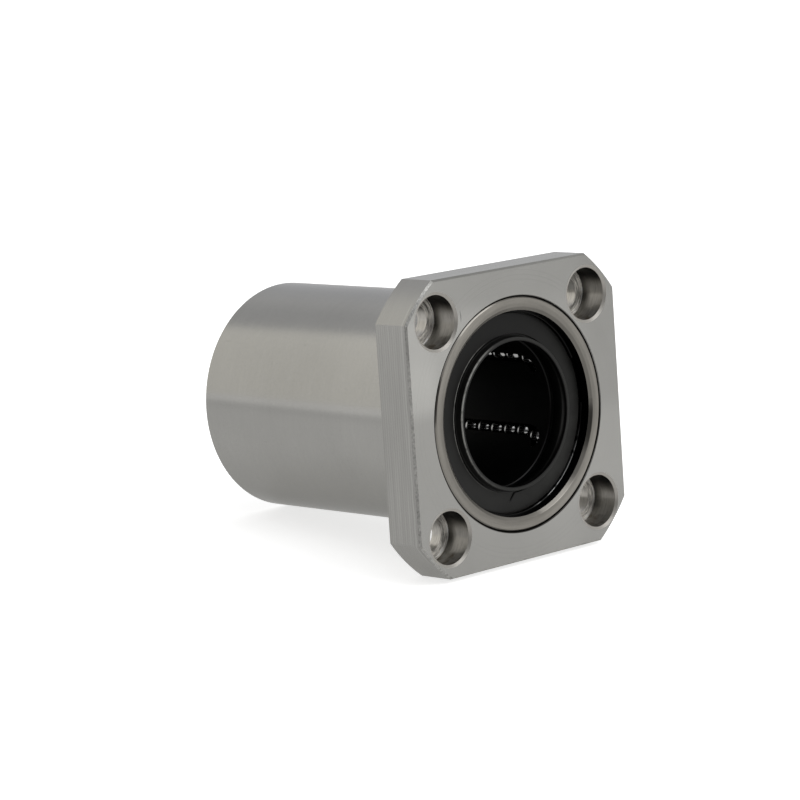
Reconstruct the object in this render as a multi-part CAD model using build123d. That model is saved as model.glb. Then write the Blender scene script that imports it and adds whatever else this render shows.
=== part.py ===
from build123d import *
import math
import os

# Flanged linear ball bushing: a hardened sleeve with a square flange pressed on its front end,
# and inside it a ball retainer with six recirculating ball circuits, held by side rings, seals
# and retaining rings.
# Sizes are in millimetres. +X runs along the bore, out of the flange's front face, and +Z is up.
# The origin is on the bore axis, in the plane of the flange's mounting face.

# Shaft, balls and races
shaft_diameter = 25.0
ball_diameter = 3.175
ball_play = 0.02
relief_depth = 0.785
return_clearance = 0.05
land_width = 3.0

# Sleeve
sleeve_length = 58.0
sleeve_wall = 2.5
shoulder_width = 1.0
sleeve_edge_chamfer = 0.45
undercut_width = 1.0
undercut_depth = 0.3
recess_chamfer_width = 0.6
recess_chamfer_depth = 0.45

# Flange
flange_thickness = 7.5
flange_reach = 5.0
flange_front_chamfer = 0.35
flange_rear_chamfer = 0.3
flange_bore_chamfer = 0.12
bolt_count = 4
bolt_hole_diameter = 5.5
counterbore_diameter = 9.0
counterbore_depth = 5.1
counterbore_web = 1.0
corner_web = 1.0
counterbore_chamfer_width = 0.5
counterbore_chamfer_depth = 0.3
hole_exit_chamfer = 0.25

# Retaining ring, seal and side ring, in the order they lie from the sleeve's end
ring_depth = 2.0
ring_thickness = 0.8
ring_groove_depth = 0.5
ring_overhang = 0.28
ring_gap_angle = 26.0
ring_gap_start = -2.0
ring_edge_break = 0.08
seal_web = 1.6
seal_face_step = 0.45
seal_face_margin = 0.5
seal_face_round = 0.1
seal_edge_chamfer = 0.25
lip_height = 1.2
lip_wall = 0.7
lip_edge_round = 0.14
lip_root_round = 0.18
lip_contact_length = 0.85
lip_flare = 0.4
side_ring_thickness = 0.6
side_ring_clearance = 0.2

# Ball retainer and circuits
circuit_count = 6
first_circuit_angle = -24.0
retainer_bore_clearance = 0.3
retainer_play = 0.1
retainer_end_wall = 0.8
retainer_edge_chamfer = 0.15
channel_clearance = 0.0725
ball_gap = 0.01
turn_entry_gap = 1.66
turn_ball_angles = (45.0, 135.0)

# Radii, worked out from the shaft outwards
shaft_radius = shaft_diameter / 2
ball_radius = ball_diameter / 2
load_radius = shaft_radius + ball_play + ball_radius
race_radius = load_radius + ball_radius + ball_play
relief_radius = race_radius + relief_depth
return_radius = relief_radius - return_clearance - ball_radius
recess_radius = relief_radius + shoulder_width
sleeve_radius = recess_radius + sleeve_wall
groove_radius = recess_radius + ring_groove_depth
ring_inner_radius = recess_radius - ring_overhang
seal_face_radius = recess_radius - seal_face_margin
lip_outer_radius = shaft_radius + lip_wall
retainer_inner_radius = shaft_radius + retainer_bore_clearance
retainer_outer_radius = relief_radius - retainer_play
side_ring_inner_radius = retainer_inner_radius + side_ring_clearance
channel_radius = ball_radius + channel_clearance

# The flange's square, bolt circle and corner circle, from the sleeve outwards
flange_half_width = sleeve_radius + flange_reach
bolt_circle_radius = sleeve_radius + counterbore_web + counterbore_diameter / 2
corner_radius = bolt_circle_radius + counterbore_diameter / 2 + corner_web

# Places along the bore
front_x = flange_thickness
rear_x = front_x - sleeve_length
middle_x = (front_x + rear_x) / 2
seal_depth = ring_depth + ring_thickness
side_ring_depth = seal_depth + seal_web
shoulder_depth = side_ring_depth + side_ring_thickness
seal_face_depth = seal_depth - seal_face_step
lip_depth = seal_face_depth - lip_height

# A circuit lies in a plane square to its load row's radius, so both rows touch that plane
row_spacing = math.sqrt(return_radius**2 - load_radius**2)
turn_radius = row_spacing / 2
turn_depth = shoulder_depth + retainer_end_wall + channel_radius + turn_radius
front_turn_x = front_x - turn_depth
rear_turn_x = rear_x + turn_depth
straight_length = front_turn_x - rear_turn_x
row_length = straight_length - 2 * turn_entry_gap
row_ball_count = int(row_length / (ball_diameter + ball_gap)) + 1
row_pitch = row_length / (row_ball_count - 1)


def turned(points):
    """Turn a closed outline of (x, radius) points about the bore axis."""
    return revolve(make_face(Polyline(*points, close=True)), Axis.X)


def rear_copy(piece):
    """The same piece at the sleeve's other end."""
    return mirror(piece, Plane.YZ.offset(middle_x))


def end_outline():
    """The sleeve's front end, from its outer edge in to the shoulder under the side ring."""
    return [
        (front_x - sleeve_edge_chamfer, sleeve_radius),
        (front_x, sleeve_radius - sleeve_edge_chamfer),
        (front_x, recess_radius + recess_chamfer_width),
        (front_x - recess_chamfer_depth, recess_radius),
        (front_x - ring_depth, recess_radius),
        (front_x - ring_depth, groove_radius),
        (front_x - seal_depth, groove_radius),
        (front_x - seal_depth, recess_radius),
        (front_x - shoulder_depth, recess_radius),
        (front_x - shoulder_depth, relief_radius),
    ]


def undercut():
    """The groove in the sleeve that clears a housing's edge beside the flange's mounting face."""
    floor = sleeve_radius - undercut_depth
    return [(-undercut_width, sleeve_radius), (-undercut_width, floor), (0, floor), (0, sleeve_radius)]


def race_land(angle):
    """A raised strip of the sleeve's bore that one load row rolls on."""
    root = relief_radius + sleeve_wall / 2
    height = root - race_radius + ball_radius
    strip = Pos(middle_x, root - height / 2, 0) * Box(straight_length, height, land_width)
    strip -= Pos(middle_x, 0, 0) * Rot(Y=90) * Cylinder(race_radius, sleeve_length)
    return Rot(X=angle) * strip


def circuit_angles():
    """The angle of each load row about the bore, from +Y towards +Z."""
    step = 360.0 / circuit_count
    return [first_circuit_angle + step * index for index in range(circuit_count)]


def outer_sleeve():
    front = end_outline()
    rear = [(2 * middle_x - x, radius) for x, radius in reversed(front)]
    sleeve = turned(front + rear + undercut())
    for angle in circuit_angles():
        sleeve += race_land(angle)
    return sleeve


def bolt_hole():
    """One stepped bolt hole along X at the origin, with its mouth and exit chamfers."""
    head = counterbore_diameter / 2
    shank = bolt_hole_diameter / 2
    floor_x = front_x - counterbore_depth
    return turned(
        [
            (front_x, 0),
            (front_x, head + counterbore_chamfer_width),
            (front_x - counterbore_chamfer_depth, head),
            (floor_x, head),
            (floor_x, shank),
            (hole_exit_chamfer, shank),
            (0, shank + hole_exit_chamfer),
            (0, 0),
        ]
    )


def end_face(piece, place):
    """The rearmost face of a piece for place 0, or the foremost for place -1."""
    return piece.faces().sort_by(Axis.X)[place]


def square_flange():
    centre = Pos(flange_thickness / 2, 0, 0)
    width = 2 * flange_half_width
    plate = centre * Box(flange_thickness, width, width)
    plate &= centre * Rot(Y=90) * Cylinder(corner_radius, flange_thickness)
    plate = chamfer(end_face(plate, -1).outer_wire().edges(), flange_front_chamfer)
    plate = chamfer(end_face(plate, 0).outer_wire().edges(), flange_rear_chamfer)
    plate -= turned(
        [
            (front_x, 0),
            (front_x, sleeve_radius + flange_bore_chamfer),
            (front_x - flange_bore_chamfer, sleeve_radius),
            (0, sleeve_radius),
            (0, 0),
        ]
    )
    for index in range(bolt_count):
        angle = 45 + index * 360 / bolt_count
        plate -= Rot(X=angle) * Pos(0, bolt_circle_radius, 0) * bolt_hole()
    return plate


def retaining_ring():
    """A spring ring, snapped into its groove, with a gap between its ends."""
    outer_x = front_x - ring_depth
    inner_x = front_x - seal_depth
    inner = ring_inner_radius
    ring = turned(
        [
            (outer_x, inner + ring_edge_break),
            (outer_x, groove_radius),
            (inner_x, groove_radius),
            (inner_x, inner + ring_edge_break),
            (inner_x + ring_edge_break, inner),
            (outer_x - ring_edge_break, inner),
        ]
    )
    gap_width = 2 * groove_radius * math.sin(math.radians(ring_gap_angle) / 2)
    gap = Pos(middle_x, groove_radius, 0) * Box(sleeve_length, groove_radius, gap_width)
    gap_middle = ring_gap_start + ring_gap_angle / 2
    return ring - Rot(X=gap_middle) * gap


def rounded(face, point, radius):
    """The face with its corner at a point rounded."""
    corner = face.vertices().sort_by_distance(point)[0]
    return fillet(corner, radius)


def seal():
    """A rubber end seal: a rim under the retaining ring, a raised face and a lip round the shaft."""
    rim_x = front_x - seal_depth
    face_x = front_x - seal_face_depth
    back_x = rim_x - seal_web
    tip_x = front_x - lip_depth
    contact_x = tip_x - lip_edge_round - lip_contact_length
    face = make_face(
        Polyline(
            (rim_x, recess_radius),
            (rim_x, seal_face_radius),
            (face_x, seal_face_radius),
            (face_x, lip_outer_radius),
            (tip_x, lip_outer_radius),
            (tip_x, shaft_radius),
            (contact_x, shaft_radius),
            (rim_x, shaft_radius + lip_flare / 2),
            (back_x, shaft_radius + lip_flare),
            (back_x, recess_radius - seal_edge_chamfer),
            (back_x + seal_edge_chamfer, recess_radius),
            close=True,
        )
    )
    face = rounded(face, (face_x, seal_face_radius), seal_face_round)
    face = rounded(face, (face_x, lip_outer_radius), lip_root_round)
    face = rounded(face, (tip_x, lip_outer_radius), lip_edge_round)
    face = rounded(face, (tip_x, shaft_radius), lip_edge_round)
    return revolve(face, Axis.X)


def side_ring():
    """A steel washer on the sleeve's shoulder that stops the retainer."""
    outer_x = front_x - side_ring_depth
    inner_x = front_x - shoulder_depth
    return turned(
        [
            (outer_x, side_ring_inner_radius),
            (outer_x, recess_radius),
            (inner_x, recess_radius),
            (inner_x, side_ring_inner_radius),
        ]
    )


def channel_section(x, z):
    """The ball channel's outline at one point of its route: round inside, open outwards."""
    height = relief_radius - load_radius + channel_radius
    outline = Circle(channel_radius)
    outline += Pos(0, height / 2) * Rectangle(2 * channel_radius, height)
    return Plane(origin=(x, load_radius, z), x_dir=(0, 0, 1), z_dir=(-1, 0, 0)) * outline


def turn_axis(x):
    """The axis about which the balls go round one end of the circuit."""
    return Axis((x, load_radius, -turn_radius), (0, 1, 0))


def ball_channel():
    """The racetrack cut for the circuit whose load row is at +Y."""
    load_start = channel_section(front_turn_x, 0)
    return_start = channel_section(front_turn_x, -row_spacing)
    return_end = channel_section(rear_turn_x, -row_spacing)
    channel = extrude(load_start, straight_length)
    channel += extrude(return_start, straight_length)
    channel += revolve(load_start, turn_axis(front_turn_x), 180)
    channel += revolve(return_end, turn_axis(rear_turn_x), 180)
    return channel


def land_notch():
    """The groove in the retainer that straddles the race land at +Y."""
    width = land_width + 2 * retainer_play
    floor = race_radius - retainer_play
    height = relief_radius - floor
    length = sleeve_length - 2 * turn_depth + 2 * retainer_play
    return Pos(middle_x, floor + height / 2, 0) * Box(length, height, width)


def ball_retainer():
    outer_x = front_x - shoulder_depth
    end_x = rear_x + shoulder_depth
    retainer = turned(
        [
            (outer_x, retainer_inner_radius + retainer_edge_chamfer),
            (outer_x, retainer_outer_radius - retainer_edge_chamfer),
            (outer_x - retainer_edge_chamfer, retainer_outer_radius),
            (end_x + retainer_edge_chamfer, retainer_outer_radius),
            (end_x, retainer_outer_radius - retainer_edge_chamfer),
            (end_x, retainer_inner_radius + retainer_edge_chamfer),
            (end_x + retainer_edge_chamfer, retainer_inner_radius),
            (outer_x - retainer_edge_chamfer, retainer_inner_radius),
        ]
    )
    cut = ball_channel() + land_notch()
    for angle in circuit_angles():
        retainer -= Rot(X=angle) * cut
    return retainer


def ball(x, z):
    """One ball in the plane of the circuit whose load row is at +Y."""
    return Pos(x, load_radius, z) * Sphere(ball_radius)


def straight_row(z):
    """The balls of one straight row."""
    first_x = front_turn_x - turn_entry_gap
    return [ball(first_x - index * row_pitch, z) for index in range(row_ball_count)]


def turn_balls(x, side):
    """The balls going round one end; side is 1 at the front and -1 at the rear."""
    balls = []
    for angle in turn_ball_angles:
        swing = math.radians(angle)
        reach = side * turn_radius * math.sin(swing)
        across = turn_radius * math.cos(swing) - turn_radius
        balls.append(ball(x + reach, across))
    return balls


def write(name, piece):
    export_step(piece, os.path.join("parts", name + ".step"))


def write_both_ends(name, piece):
    write("front_" + name, piece)
    write("rear_" + name, rear_copy(piece))


def write_circuit(number, angle):
    """Each group of balls that moves as one, turned to its circuit's place."""
    groups = {
        "load_row": straight_row(0),
        "return_row": straight_row(-row_spacing),
        "front_turn": turn_balls(front_turn_x, 1),
        "rear_turn": turn_balls(rear_turn_x, -1),
    }
    for name, balls in groups.items():
        placed = [Rot(X=angle) * one for one in balls]
        write(f"{name}_{number}", Compound(placed))


os.makedirs("parts", exist_ok=True)
write("outer_sleeve", outer_sleeve())
write("square_flange", square_flange())
write("ball_retainer", ball_retainer())
write_both_ends("retaining_ring", retaining_ring())
write_both_ends("seal", seal())
write_both_ends("side_ring", side_ring())
for number, angle in enumerate(circuit_angles(), start=1):
    write_circuit(number, angle)
print("sleeve diameter", 2 * sleeve_radius, "flange width", 2 * flange_half_width)
print("bolt circle", 2 * bolt_circle_radius, "corner circle", 2 * corner_radius)
print("balls in a row", row_ball_count, "pitch", row_pitch, "turn radius", turn_radius)
print("turn centres at x", front_turn_x, rear_turn_x, "load radius", load_radius)
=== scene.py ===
"""Looks of the flanged linear ball bushing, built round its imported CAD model.

Lengths are in metres in the CAD frame: +X runs along the bore, out of the flange's front face, and +Z is
up. The origin is on the bore axis in the plane of the flange's mounting face. Angles about the bore are
measured from +Y towards +Z, as in the part's source. The materials measure the surface in millimetres.
"""

import math

import bpy
from mathutils import Matrix, Vector


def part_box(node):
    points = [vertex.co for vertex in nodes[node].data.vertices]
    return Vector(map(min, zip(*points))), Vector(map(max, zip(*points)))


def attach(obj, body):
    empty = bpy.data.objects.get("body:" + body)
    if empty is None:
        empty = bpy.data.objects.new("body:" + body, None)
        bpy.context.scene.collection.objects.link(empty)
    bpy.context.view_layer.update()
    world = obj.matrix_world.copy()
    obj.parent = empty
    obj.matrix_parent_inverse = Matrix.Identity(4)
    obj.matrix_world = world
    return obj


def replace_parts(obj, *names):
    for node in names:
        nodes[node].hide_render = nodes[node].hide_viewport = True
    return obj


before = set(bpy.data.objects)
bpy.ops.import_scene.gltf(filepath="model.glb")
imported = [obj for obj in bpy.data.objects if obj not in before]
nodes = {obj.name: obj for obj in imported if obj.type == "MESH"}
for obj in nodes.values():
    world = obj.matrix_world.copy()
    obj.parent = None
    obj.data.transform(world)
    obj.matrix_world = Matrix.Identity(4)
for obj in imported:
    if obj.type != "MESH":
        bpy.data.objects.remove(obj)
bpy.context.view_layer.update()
MM = 0.001
AXIS = Vector((1, 0, 0))

# Sizes read from the CAD boxes, in metres
flange_low, flange_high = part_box("square_flange")
sleeve_low, sleeve_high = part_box("outer_sleeve")
seal_low, seal_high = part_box("front_seal")
ring_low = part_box("front_retaining_ring")[0]
front_x = flange_high.x
rear_x = sleeve_low.x
middle_x = (front_x + rear_x) / 2
sleeve_radius = sleeve_high.z

# Camera: the photograph's view, found by fitting the flange, its bolt holes and the sleeve
CAMERA_PLACE = Vector((0.41031, -0.40831, 0.08997))
CAMERA_FORWARD = Vector((-0.71849, 0.67945, -0.14874))
CAMERA_UP = Vector((-0.06102, 0.15145, 0.98658))
CAMERA_LENS = 155.25
SENSOR_WIDTH = 36.0
CLIP_START = 0.01
CLIP_END = 100.0

# The bushing rests on the flange's lower rear edge and the sleeve's rear edge, so the floor leans here
FLANGE_REAR_CHAMFER = 0.3 * MM
SLEEVE_EDGE_CHAMFER = 0.45 * MM
flange_foot = Vector((FLANGE_REAR_CHAMFER, 0, flange_low.z))
sleeve_foot = Vector((rear_x + SLEEVE_EDGE_CHAMFER, 0, -sleeve_radius))
floor_along = (flange_foot - sleeve_foot).normalized()
floor_across = Vector((0, 1, 0))
floor_up = floor_along.cross(floor_across).normalized()

# Level directions of the room: towards the camera, and to the right of the picture
room_near = -(CAMERA_FORWARD - floor_up * CAMERA_FORWARD.dot(floor_up)).normalized()
room_right = floor_up.cross(room_near).normalized()


class Graph:
    """A short way to write a node tree: each call adds its nodes and links their inputs.

    A mask is a number from 0 to 1, and a span is a pair of values between which something changes.
    """

    def __init__(self, tree):
        self.tree = tree
        tree.nodes.clear()

    def feed(self, socket, value):
        if isinstance(value, bpy.types.NodeSocket):
            self.tree.links.new(value, socket)
        else:
            socket.default_value = value

    def node(self, kind, inputs=None, **settings):
        made = self.tree.nodes.new("ShaderNode" + kind)
        for name, value in settings.items():
            setattr(made, name, value)
        for key, value in (inputs or {}).items():
            self.feed(made.inputs[key], value)
        return made

    def math(self, operation, *values):
        return self.node("Math", dict(enumerate(values)), operation=operation).outputs[0]

    def vector(self, operation, *values):
        return self.node("VectorMath", dict(enumerate(values)), operation=operation).outputs[0]

    def scale(self, vector, factor):
        return self.node("VectorMath", {0: vector, "Scale": factor}, operation="SCALE").outputs[0]

    def dot(self, one, other):
        return self.node("VectorMath", {0: one, 1: other}, operation="DOT_PRODUCT").outputs["Value"]

    def split(self, vector):
        return self.node("SeparateXYZ", {0: vector}).outputs[:3]

    def join(self, x, y, z):
        return self.node("CombineXYZ", {0: x, 1: y, 2: z}).outputs[0]

    def product(self, first, *others):
        """All the numbers multiplied."""
        for other in others:
            first = self.math("MULTIPLY", first, other)
        return first

    def total(self, first, *others):
        """All the numbers added."""
        for other in others:
            first = self.math("ADD", first, other)
        return first

    def add_shares(self, start, *terms):
        """The start plus each term's value times its share."""
        for value, share in terms:
            start = self.math("MULTIPLY_ADD", value, share, start)
        return start

    def either(self, one, other):
        """The larger of two masks."""
        return self.math("MAXIMUM", one, other)

    def opposite(self, mask):
        """0 where the mask is 1, and 1 where it is 0."""
        return self.math("SUBTRACT", 1.0, mask)

    def distance(self, value, place):
        """How far the value is from a place, to either side."""
        return self.math("ABSOLUTE", self.math("SUBTRACT", value, place))

    def step(self, value, span, at_low, at_high):
        """A smooth step from at_low to at_high as value goes through the span."""
        inputs = {0: value, 1: span[0], 2: span[1], 3: at_low, 4: at_high}
        return self.node("MapRange", inputs, interpolation_type="SMOOTHSTEP").outputs[0]

    def rise(self, value, span):
        return self.step(value, span, 0.0, 1.0)

    def fall(self, value, span):
        return self.step(value, span, 1.0, 0.0)

    def line(self, value, place, half_width):
        """1 where value is at place, falling to 0 a half width away."""
        return self.fall(self.distance(value, place), (0.0, half_width))

    def blend(self, factor, one, other):
        """From one number to another."""
        return self.node("Mix", {0: factor, 2: one, 3: other}).outputs[0]

    def change(self, level, mask, factor):
        """The level, multiplied by the factor where the mask is 1."""
        return self.math("MULTIPLY", level, self.blend(mask, 1.0, factor))

    def mix(self, factor, one, other):
        """From one colour to another."""
        made = self.node("Mix", data_type="RGBA")
        for index, value in ((0, factor), (6, one), (7, other)):
            self.feed(made.inputs[index], value)
        return made.outputs[2]

    def mix_vector(self, factor, one, other):
        made = self.node("Mix", data_type="VECTOR")
        for index, value in ((0, factor), (4, one), (5, other)):
            self.feed(made.inputs[index], value)
        return made.outputs[1]

    def noise(self, vector, scale, detail=2.0, roughness=0.5, stretch=None):
        """Noise from about -1 to 1, round 0; a stretch multiplies the place along x, y and z first."""
        if stretch is not None:
            vector = self.vector("MULTIPLY", vector, stretch)
        inputs = {"Vector": vector, "Scale": scale, "Detail": detail, "Roughness": roughness}
        value = self.node("TexNoise", inputs, noise_dimensions="3D").outputs[0]
        return self.math("MULTIPLY_ADD", value, 2.0, -1.0)

    def ramp(self, factor, stops):
        made = self.node("ValToRGB", {0: factor})
        band = made.color_ramp
        for place, colour in stops[1:-1]:
            band.elements.new(place).color = colour
        for index in (0, -1):
            band.elements[index].position, band.elements[index].color = stops[index]
        return made.outputs[0]

    def bump(self, height, distance, normal=None):
        inputs = {"Height": height, "Distance": distance, "Strength": 1.0}
        if normal is not None:
            inputs["Normal"] = normal
        return self.node("Bump", inputs).outputs[0]

    def surface(self, inputs):
        shader = self.node("BsdfPrincipled", inputs)
        self.node("OutputMaterial", {"Surface": shader.outputs[0]})


def opaque(tint):
    return (*tint, 1.0)


def grey(level):
    return (level, level, level, 1.0)


def new_material(name):
    material = bpy.data.materials.new(name)
    material.use_nodes = True
    return material, Graph(material.node_tree)


def link_object(name, data):
    made = bpy.data.objects.new(name, data)
    bpy.context.scene.collection.objects.link(made)
    return made


# Camera


def make_camera():
    data = bpy.data.cameras.new("camera")
    data.sensor_width = SENSOR_WIDTH
    data.lens = CAMERA_LENS
    data.clip_start = CLIP_START
    data.clip_end = CLIP_END
    camera = link_object("camera", data)
    back = -CAMERA_FORWARD.normalized()
    right = CAMERA_UP.cross(back).normalized()
    turn = Matrix((right, back.cross(right), back)).transposed()
    camera.matrix_world = Matrix.Translation(CAMERA_PLACE) @ turn.to_4x4()
    bpy.context.scene.camera = camera


# Studio: the room's levels round the horizon, as the bushing's metal shows them

WHITE = grey(1.0)
WARM = Vector((1.02, 1.0, 0.945))
NEUTRAL = Vector((1.0, 1.0, 0.985))
PLAIN = Vector((1.0, 1.0, 1.01))
COOL = Vector((0.99, 1.0, 1.03))

# Degrees from the camera's side round by the picture's right, level and tint
ROOM = [
    (0, 0.08, NEUTRAL),
    (44, 0.10, NEUTRAL),
    (56, 1.30, NEUTRAL),
    (66, 1.80, NEUTRAL),
    (76, 1.60, NEUTRAL),
    (88, 0.95, NEUTRAL),
    (104, 0.83, NEUTRAL),
    (150, 0.82, NEUTRAL),
    (181, 0.80, COOL),
    (188, 0.76, COOL),
    (200, 0.74, PLAIN),
    (213, 0.65, PLAIN),
    (231.5, 0.63, PLAIN),
    (234, 1.10, WARM),
    (246, 1.00, WARM),
    (254, 0.96, WARM),
    (280, 0.96, WARM),
    (288, 0.30, NEUTRAL),
    (296, 0.08, NEUTRAL),
    (360, 0.08, NEUTRAL),
]

# Bearings and widths are in degrees, and heights are sines of the angle above the floor
WINDOW_BEARING = 76
WINDOW_REACH = 28
WINDOW_FADE = 0.40
WINDOW_FADE_HEIGHTS = (0.04, 0.30)
PANEL_BEARING = 12
PANEL_WIDTH = 44
PANEL_HEIGHT = 0.72
PANEL_REACH = 0.28
PANEL_EDGE = (0.0, 0.3)
PANEL_LEVEL = 1.10
ZENITH = (0.90, 0.92, 0.94, 1.0)
ZENITH_HEIGHTS = (0.80, 0.95)


def make_world():
    """The room: its walls, a window that fades upwards, a panel above the camera and a pale ceiling."""
    world = bpy.data.worlds.new("studio")
    bpy.context.scene.world = world
    world.use_nodes = True
    graph = Graph(world.node_tree)
    direction = graph.node("TexCoord").outputs["Generated"]
    height = graph.dot(direction, floor_up)
    bearing = graph.math("ARCTAN2", graph.dot(direction, room_right), graph.dot(direction, room_near))
    turn = graph.math("FRACT", graph.add_shares(1.0, (bearing, 1 / math.tau)))
    room = graph.ramp(turn, [(degrees / 360, opaque(tint * level)) for degrees, level, tint in ROOM])

    window = graph.line(bearing, math.radians(WINDOW_BEARING), math.radians(WINDOW_REACH))
    fade = graph.product(window, graph.step(height, WINDOW_FADE_HEIGHTS, 0.0, WINDOW_FADE))
    room = graph.scale(room, graph.opposite(fade))
    across = graph.line(bearing, math.radians(PANEL_BEARING), math.radians(PANEL_WIDTH) / 2)
    upwards = graph.line(height, PANEL_HEIGHT, PANEL_REACH)
    panel = graph.product(graph.rise(across, PANEL_EDGE), graph.rise(upwards, PANEL_EDGE))
    room = graph.mix(panel, room, grey(PANEL_LEVEL))
    room = graph.mix(graph.rise(height, ZENITH_HEIGHTS), room, ZENITH)

    seen = graph.node("LightPath").outputs["Is Camera Ray"]
    background = graph.node("Background", {"Color": graph.mix(seen, room, WHITE)})
    graph.node("OutputWorld", {"Surface": background.outputs[0]})


# Places across the floor are in metres from the bore, and negative ones are on the picture's left
FLOOR_REACH = 3.0
FLOOR_CORNERS = ((-1, -1), (1, -1), (1, 1), (-1, 1))
FLOOR_LEVEL = 0.76
FLOOR_WHITENING = 0.66
SHEET_LEVEL = 0.36
SHEET_TINT = Vector((1.0, 0.992, 0.968))
LEFT_GLOW = 0.46
NEAR_GLOW = 0.545
GLOW_RISE = (-0.055, -0.01)
FAR_GLOW = 0.72
EDGE_GLOW = 0.38
EDGE_PLACE = -0.140
EDGE_NEAR_REACH = 0.05
EDGE_FAR_REACH = 0.12


def sheet_glow(graph, across):
    """How bright the metal mirrors the floor: darker towards the sheet's left edge, brighter beyond it."""
    glow = graph.step(across, GLOW_RISE, LEFT_GLOW, NEAR_GLOW)
    at_edge = graph.fall(across, (EDGE_PLACE, EDGE_PLACE + EDGE_NEAR_REACH))
    glow = graph.blend(at_edge, glow, EDGE_GLOW)
    far_glow = graph.step(across, (EDGE_PLACE - EDGE_FAR_REACH, EDGE_PLACE), FAR_GLOW, EDGE_GLOW)
    return graph.blend(graph.math("LESS_THAN", across, EDGE_PLACE), glow, far_glow)


def make_floor():
    """A sheet under the bushing: white to the camera except in the shadow, and clear from below."""
    mesh = bpy.data.meshes.new("floor")
    centre = (flange_foot + sleeve_foot) / 2
    corners = []
    for along, across in FLOOR_CORNERS:
        corners.append(centre + (floor_along * along + floor_across * across) * FLOOR_REACH)
    mesh.from_pydata(corners, [], [(0, 1, 2, 3)])
    floor = link_object("floor", mesh)

    material, graph = new_material("floor")
    seen = graph.node("LightPath").outputs["Is Camera Ray"]
    across = graph.split(graph.node("TexCoord").outputs["Object"])[1]
    colour = graph.mix(seen, grey(SHEET_LEVEL), grey(FLOOR_LEVEL))
    tint = graph.mix(seen, opaque(SHEET_TINT), WHITE)
    strength = graph.blend(seen, sheet_glow(graph, across), FLOOR_WHITENING)
    sheet = graph.node("BsdfDiffuse", {"Color": colour}).outputs[0]
    glow = graph.node("Emission", {"Color": tint, "Strength": strength}).outputs[0]
    lit = graph.node("AddShader", {0: sheet, 1: glow}).outputs[0]
    clear = graph.node("BsdfTransparent").outputs[0]
    under = graph.node("NewGeometry").outputs["Backfacing"]
    surface = graph.node("MixShader", {0: under, 1: lit, 2: clear}).outputs[0]
    graph.node("OutputMaterial", {"Surface": surface})
    mesh.materials.append(material)


# Angles in degrees, the bearing as in ROOM
SOFT_BOX_BEARING = 68
SOFT_BOX_ELEVATION = 60
SOFT_BOX_SPREAD = 36
SOFT_BOX_RADIANCE = 2.0
SOFT_BOX_DISTANCE = 1.0


def make_soft_box():
    """A square lamp at the upper right, turned to the bushing."""
    bearing = math.radians(SOFT_BOX_BEARING)
    elevation = math.radians(SOFT_BOX_ELEVATION)
    level = room_near * math.cos(bearing) + room_right * math.sin(bearing)
    direction = level * math.cos(elevation) + floor_up * math.sin(elevation)
    data = bpy.data.lights.new("key_soft_box", "AREA")
    data.shape = "SQUARE"
    data.size = 2 * SOFT_BOX_DISTANCE * math.tan(math.radians(SOFT_BOX_SPREAD) / 2)
    data.energy = SOFT_BOX_RADIANCE * math.pi * data.size**2
    lamp = link_object("key_soft_box", data)
    lamp.location = direction * SOFT_BOX_DISTANCE
    lamp.rotation_mode = "QUATERNION"
    lamp.rotation_quaternion = direction.to_track_quat("Z", "Y")
    lamp.visible_camera = False


# Materials: their lengths are in millimetres, and each noise has a scale per millimetre

FRONT = front_x / MM
MIDDLE = middle_x / MM
HALF_LENGTH = FRONT - MIDDLE
SLEEVE_RADIUS = sleeve_radius / MM

STEEL = Vector((0.366, 0.363, 0.350))
RIM_STEEL = Vector((0.250, 0.238, 0.217))
# Painted light: the bolt holes' steel is lighter than the rest of the flange
LIT_HOLE_STEEL = Vector((0.42, 0.405, 0.38))
STAIN = Vector((0.16, 0.125, 0.085))
# Painted shade for the joint between the sleeve and the flange
JOINT_SHADE = Vector((0.030, 0.028, 0.026))
# Black for the sleeve's recesses and bore: painted shade, with the dark scale of the unground recess walls
RECESS_SCALE_AND_SHADE = Vector((0.005, 0.005, 0.005))
QUARTER_TURN = 0.25
BROAD_PATCHES = dict(scale=0.10)


def surface_place(graph):
    """The surface point in millimetres."""
    return graph.scale(graph.node("TexCoord").outputs["Object"], 1 / MM)


def facing_along_bore(graph):
    """1 where the surface is square to the bore axis, and 0 where it runs along it."""
    x, _y, _z = graph.split(graph.node("TexCoord").outputs["Normal"])
    return graph.math("ABSOLUTE", x)


def radius_of(graph, vector):
    _x, y, z = graph.split(vector)
    return graph.math("SQRT", graph.math("MULTIPLY_ADD", y, y, graph.math("MULTIPLY", z, z)))


def steel_surface(graph, colour, roughness, anisotropy, edge_tint, tangent, normal):
    """Steel with tool marks: it blurs reflections across the marks more than along them."""
    graph.surface(
        {
            "Base Color": colour,
            "Metallic": 1.0,
            "Roughness": roughness,
            "Anisotropic": anisotropy,
            "Anisotropic Rotation": QUARTER_TURN,
            "Specular Tint": grey(edge_tint),
            "Tangent": tangent,
            "Normal": normal,
        }
    )


# The sleeve's patterns, and how much each one changes the level

SLEEVE_END_FACING = (0.35, 0.60)
SLEEVE_MARKS = dict(scale=2.2, detail=3.0, roughness=0.6, stretch=(1.0, 0.08, 0.08))
SLEEVE_MARKS_SHARE = 0.035
SLEEVE_END_MARKS_SHARE = 0.20
SLEEVE_GRAIN = dict(scale=1.2, roughness=0.6)
SLEEVE_GRAIN_SHARE = 0.02
SLEEVE_FINE_GRAIN = dict(scale=3.0, detail=1.0)
SLEEVE_FINE_GRAIN_SHARE = 0.05
SLEEVE_SCRATCHES = dict(scale=0.8, roughness=0.6, stretch=(0.25, 1.0, 1.4))
SLEEVE_SCRATCH_SPAN = (0.42, 0.60)
SLEEVE_SCRATCH_SHARE = -0.10
SLEEVE_PATCHES_SHARE = 0.05
SLEEVE_STREAKS = dict(scale=1.6, detail=3.0, roughness=0.6, stretch=(0.12, 1.0, 1.0))
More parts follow.
